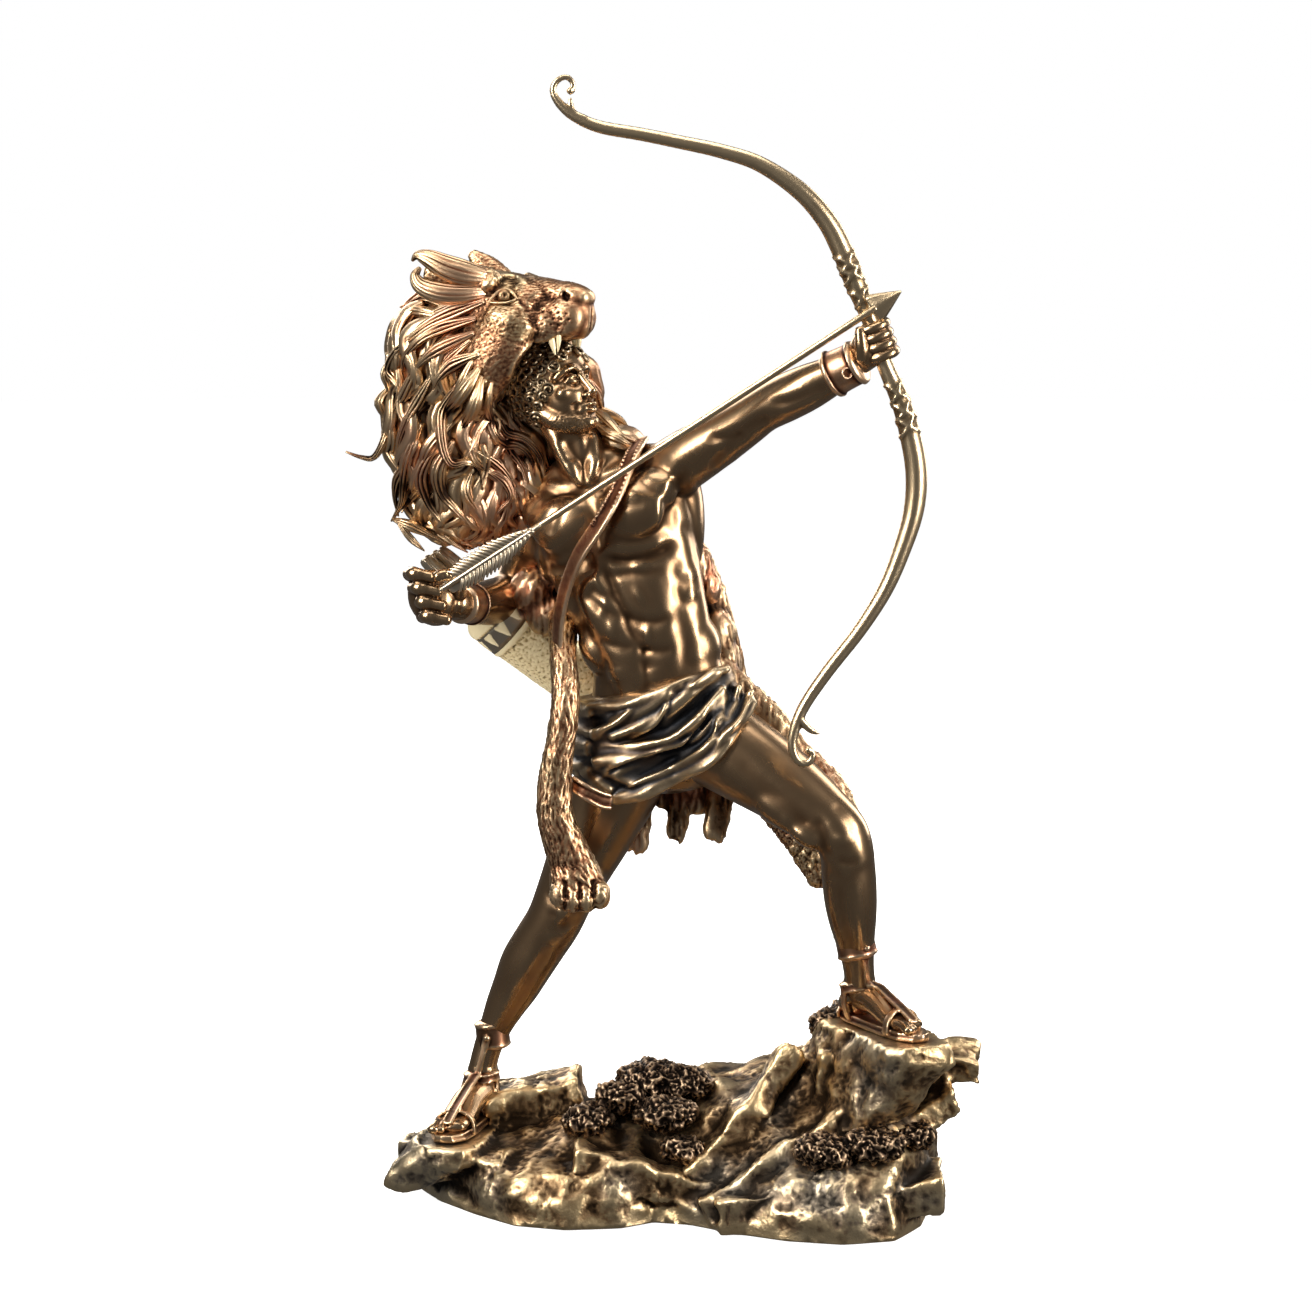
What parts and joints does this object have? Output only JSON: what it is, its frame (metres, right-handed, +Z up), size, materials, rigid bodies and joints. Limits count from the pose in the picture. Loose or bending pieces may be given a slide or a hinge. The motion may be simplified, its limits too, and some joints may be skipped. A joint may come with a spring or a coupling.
{
  "type": "archer statuette",
  "caption": "Cold-cast bronze statuette of Hercules in a lion skin, drawing a bow on a rocky base; it stands on a shelf or table.",
  "frame": {"origin": "middle of the rock's flat underside", "axes": "+X to the figure's left, which is the picture's right; -Y to the side that the picture shows; +Z up"},
  "size_m": [0.2115, 0.0943, 0.373],
  "materials": {
    "figure_bronze": "polished bronze resin, dark in the hollows, copper on the fur",
    "rock_bronze": "hammered bronze resin, pale on the edges, near black in the clefts",
    "bow_bronze": "pale satin bronze",
    "arrow_bronze": "pale satin bronze, blue-grey on the feather"
  },
  "bodies": {
    "root": {"hercules_figure": "figure_bronze", "rock_base": "rock_bronze", "bow": "bow_bronze", "arrow": "arrow_bronze"}
  },
  "joints": []
}
